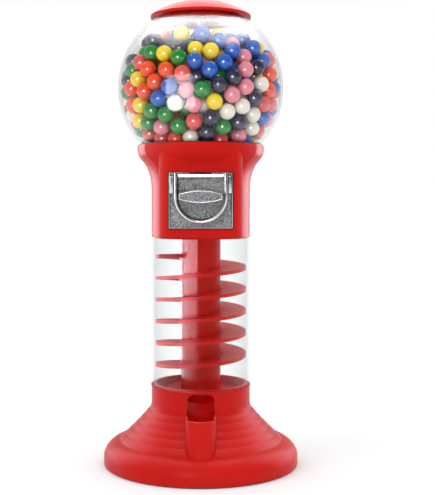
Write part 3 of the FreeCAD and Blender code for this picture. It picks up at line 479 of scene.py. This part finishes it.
def trimHandle():
    t = handleTrim
    axis = plateTrim["axis"]
    long, high = t["length"], t["height"]
    bulge = (high - t["tip"]) / 2
    radius = (long * long / 4 + bulge * bulge) / (2 * bulge)
    half = math.degrees(math.asin(long / 2 / radius))
    centre = radius - high / 2
    line = arcPoints((0.0, axis - centre), radius, 90 + half, 90 - half, t["count"], t["front"])
    line += arcPoints((0.0, axis + centre), radius, 270 + half, 270 - half, t["count"], t["front"])
    drawBead("handleBead", line, t["bead"], True, "handle", "zinc_casting", polish)


trimCoinPlate()
makeSideBar("leftBar", -1)
makeSideBar("rightBar", 1)
makeCoinLedge()
makeSlotShadow()
trimHandle()
print("coin plate and handle trimmed")


# Dark rubber lip that seals the globe on the rim of the housing; its black ring also stands in for the
# contact shadow between globe and rim, as painted shade
lipLook = {"radius": 0.0952, "height": 0.4936, "bead": 0.0009, "count": 96}


def ringPoints(t):
    turn = [2 * math.pi * i / t["count"] for i in range(t["count"])]
    return [(t["radius"] * math.cos(a), t["radius"] * math.sin(a), t["height"]) for a in turn]


def makeRimShadeLip():
    t = lipLook
    drawBead("rimShadeLip", ringPoints(t), t["bead"], True, "machine", "black_rubber", looks["black_rubber"])


# Rolled edges of the delivery cup and of the rim that holds the tube
cupLook = {"half": 0.02125, "rear": -0.0748, "centre": -0.11275, "side": 0.0951, "front": 0.0901, "step": 26,
           "count": 24, "bead": 0.0011}
rimLook = {"radius": 0.0766, "height": 0.1219, "bead": 0.0007, "count": 96}


def makeRolledEdges():
    t = cupLook
    step, count = t["step"], t["count"]
    turn = [180, 180 + step / 2, 180 + step]
    turn += [180 + step + (180 - 2 * step) * i / count for i in range(count + 1)]
    turn += [360 - step, 360 - step / 2, 360]
    height = [t["side"]] * 3 + [t["front"]] * (count + 1) + [t["side"]] * 3
    line = [(-t["half"], t["rear"], t["side"])]
    line += [(t["half"] * math.cos(math.radians(a)), t["centre"] + t["half"] * math.sin(math.radians(a)), z)
             for a, z in zip(turn, height)]
    line += [(t["half"], t["rear"], t["side"])]
    red = looks["red_plastic"]
    drawBead("cupEdge", line, t["bead"], False, "machine", "red_plastic", red)
    drawBead("rimEdge", ringPoints(rimLook), rimLook["bead"], True, "machine", "red_plastic", red)


makeRimShadeLip()
makeRolledEdges()
print("gasket lip and rolled edges laid")


# White sweep: plain white to the camera, dim in front and bright behind to what is glossy
sweepLook = {"seen": 1.0, "fill": 1.1, "front": 0.04, "behind": 0.6, "turn": -0.1, "full": 0.6}


def makeSweep():
    t = sweepLook
    look = Finish("whiteSweep", bpy.data.worlds, "ShaderNodeOutputWorld")
    heading = look.node("ShaderNodeTexCoord")      # in a world, Generated is the ray's direction
    depth = look.node("ShaderNodeSeparateXYZ", {}, {0: heading}, output=1)
    glossyRay = look.node("ShaderNodeLightPath", output="Is Glossy Ray")
    cameraRay = look.node("ShaderNodeLightPath", output="Is Camera Ray")
    grade = look.node("ShaderNodeMapRange", {"interpolation_type": "SMOOTHSTEP"},
                      {"Value": depth, "From Min": t["turn"], "From Max": t["full"],
                       "To Min": t["front"], "To Max": t["behind"]})
    inGloss = look.node("ShaderNodeMix", {}, {0: glossyRay, 2: t["fill"], 3: grade})
    strength = look.node("ShaderNodeMix", {}, {0: cameraRay, 2: inGloss, 3: t["seen"]})
    glow = look.node("ShaderNodeBackground", {}, {"Color": (1.0, 1.0, 1.0, 1.0), "Strength": strength})
    bpy.context.scene.world = look.finish(glow)


# Matt white paper under the part
floorLook = {"size": 120.0, "mottle": 1.5, "grey": (0.945, 0.965, 0.97), "white": (0.96, 0.98, 0.985),
             "gloss": 0.6, "dull": 0.1}


def makeFloor():
    t = floorLook
    clearSelection()
    bpy.ops.mesh.primitive_plane_add(size=t["size"], location=(0, 0, 0))
    floor = bpy.context.object
    floor.name = "floor"
    look = Finish("paleFloor")
    tone = look.noise(t["mottle"])
    floor.data.materials.append(look.finish(look.principled(
        Base_Color=look.ramp(tone, [(0.3, t["grey"]), (0.7, t["white"])]),
        Roughness=t["gloss"] + t["dull"] * tone, Specular_IOR_Level=0.0)))


# Lamps light the matt side of things, cards are only seen in the gloss of the nodes they are set on
coolTint = (0.86, 0.88, 1.0)
everything = ("globe", "candy", "post", "lid", "zinc", "solid", "base")
softBoxes = {
    "overheadLamp": {"place": (0.0, 0.1, 2.4), "aim": (0.0, 0.0, 0.3), "size": (2.6, 2.6),
                     "glow": 0.9, "lamp": True, "on": everything},
    "frontLamp": {"place": (-0.9, -2.0, 1.5), "aim": (0.0, 0.0, 0.4), "size": (1.2, 1.2),
                  "glow": 1.0, "lamp": True, "on": ("globe", "candy", "lid", "zinc", "solid", "base")},
    "postLamp": {"place": (1.1, 0.7, 1.0), "aim": (0.0, 0.0, 0.2), "size": (0.8, 0.8),
                 "glow": 7.5, "lamp": True, "on": ("post",)},
    "overheadCard": {"place": (0.0, 0.2, 2.2), "aim": (0.0, 0.1, 0.5), "size": (2.6, 2.3),
                     "glow": 17.0, "on": ("globe",)},
    "windowCard": {"place": (-0.38, -0.73, 0.43), "aim": (0.0, 0.0, 0.58), "size": (0.56, 0.66),
                   "glow": 16.0, "on": ("globe",)},
    "lidCard": {"place": (0.0, 1.1, 2.0), "aim": (0.0, 0.0, 0.7), "size": (1.6, 1.6),
                "glow": 2.8, "on": ("lid",)},
    "floorLamp": {"place": (-1.9, -0.9, 1.4), "aim": (0.0, 0.0, 0.0), "size": (1.0, 1.0),
                  "glow": 2.6, "lamp": True, "on": ("floor",)},
    "topCard": {"place": (0.0, 0.3, 2.4), "aim": (0.0, 0.0, 0.3), "size": (1.6, 1.2),
                "glow": 5.0, "on": ("solid", "zinc", "base")},
    "leftCard": {"place": (-1.35, -0.75, 1.05), "aim": (0.0, 0.0, 0.75), "size": (0.9, 1.5),
                 "glow": 4.0, "on": ("solid", "zinc")},
    "frontCard": {"place": (-0.50, -1.90, 0.6), "aim": (0.0, 0.0, 0.3), "size": (0.30, 1.0),
                  "glow": 7.0, "on": ("base",)},
    "baseLeft": {"place": (-1.30, 0.80, 0.8), "aim": (0.0, 0.0, 0.2), "size": (1.3, 1.5),
                 "glow": 3.0, "cool": True, "on": ("base",)},
    "baseRight": {"place": (1.30, 0.80, 0.8), "aim": (0.0, 0.0, 0.2), "size": (1.3, 1.5),
                  "glow": 3.0, "cool": True, "on": ("base",)},
    "plateCard": {"place": (-0.25, -1.3, 1.6), "aim": (0.0, 0.0, 0.41), "size": (1.0, 0.8),
                  "glow": 5.0, "on": ("zinc",)},
    "postHigh": {"place": (-0.5, -0.6, 0.62), "aim": (0.0, -0.6, 0.62), "size": (1.5, 0.8),
                 "glow": 24.0, "cool": True, "on": ("post",)},
    "postMiddle": {"place": (-0.5, -0.6, 0.52), "aim": (0.0, -0.6, 0.52), "size": (1.5, 0.8),
                   "glow": 18.0, "cool": True, "on": ("post",)},
    "postLow": {"place": (-0.5, -0.6, 0.43), "aim": (0.0, -0.6, 0.43), "size": (1.5, 0.8),
                "glow": 10.0, "cool": True, "on": ("post",)},
    "postRear": {"place": (-0.5, 0.75, 0.5), "aim": (0.0, 0.75, 0.5), "size": (1.2, 1.0),
                 "glow": 6.0, "cool": True, "on": ("post",)},
    "leftRear": {"place": (-1.30, 0.80, 0.8), "aim": (0.0, 0.0, 0.5), "size": (1.3, 1.5),
                 "glow": 7.0, "cool": True, "on": ("solid",)},
    "rightRear": {"place": (1.30, 0.80, 0.8), "aim": (0.0, 0.0, 0.5), "size": (1.3, 1.5),
                  "glow": 7.0, "cool": True, "on": ("solid",)},
    "sparkCard": {"place": (-0.35, -1.75, 0.50), "aim": (0.0, 0.0, 0.58), "size": (0.7, 0.7),
                  "glow": 20.0, "on": ("candy",)}}


def cardGroup(name, slot):
    if name in ("globe", "lid"):
        return name
    if name in ("cupEdge", "rimEdge"):      # rolled edges catch the globe's cards
        return "globe"
    if slot.startswith("candy"):
        return "candy"
    if slot == "zinc_casting":
        return "zinc"
    if name == "base_shell":
        return "base"
    return "post" if isPost(name) else "solid"


def gather():
    groups = {kind: [] for kind in everything}
    for part in frame["record"]["subparts"]:
        name, slot = part["node"], part["material_slot"]
        if name != "clear_tube":
            groups[cardGroup(name, slot)].append(nodes[name])
    for piece, slot in trims:
        groups[cardGroup(piece.name, slot)].append(piece)
    groups["floor"] = [bpy.data.objects["floor"]]
    return groups


def makeLights():
    groups = gather()
    for name, box in softBoxes.items():
        light = bpy.data.lights.new(name, "AREA")
        light.shape = "RECTANGLE"
        light.size, light.size_y = box["size"]
        light.color = coolTint if box.get("cool", False) else (1.0, 1.0, 1.0)
        light.energy = box["glow"] * math.pi * light.size * light.size_y
        holder = bpy.data.objects.new(name, light)
        bpy.context.scene.collection.objects.link(holder)
        holder.location = box["place"]
        holder.rotation_euler = (Vector(box["aim"]) - holder.location).to_track_quat("-Z", "Y").to_euler()
        holder.visible_glossy = not box.get("lamp", False)
        holder.visible_diffuse = box.get("lamp", False)
        holder.visible_camera = False
        lit = bpy.data.collections.new(name + "Nodes")
        for kind in box["on"]:
            for thing in groups[kind]:
                lit.objects.link(thing)
        holder.light_linking.receiver_collection = lit


# Level camera in front, with the frame moved to where the photograph has it
cameraSet = {"distance": 1.544, "height": 0.402, "lens": 72.0, "sensor": 36.0,
             "frame": (435, 495), "axisPixel": 200.75, "horizonPixel": 204.0}


def makeCamera():
    data = bpy.data.cameras.new("camera")
    data.lens = cameraSet["lens"]
    data.sensor_width = cameraSet["sensor"]
    wide, high = cameraSet["frame"]
    data.shift_x = (wide / 2 - cameraSet["axisPixel"]) / high
    data.shift_y = (cameraSet["horizonPixel"] - high / 2) / high
    holder = bpy.data.objects.new("camera", data)
    holder.location = (0.0, -cameraSet["distance"], cameraSet["height"])
    holder.rotation_euler = (math.radians(90), 0.0, 0.0)
    bpy.context.scene.collection.objects.link(holder)
    bpy.context.scene.camera = holder


makeSweep()
makeFloor()
makeLights()
makeCamera()
bpy.context.scene.view_settings.view_transform = "Standard"
print("stage, lights and camera set")
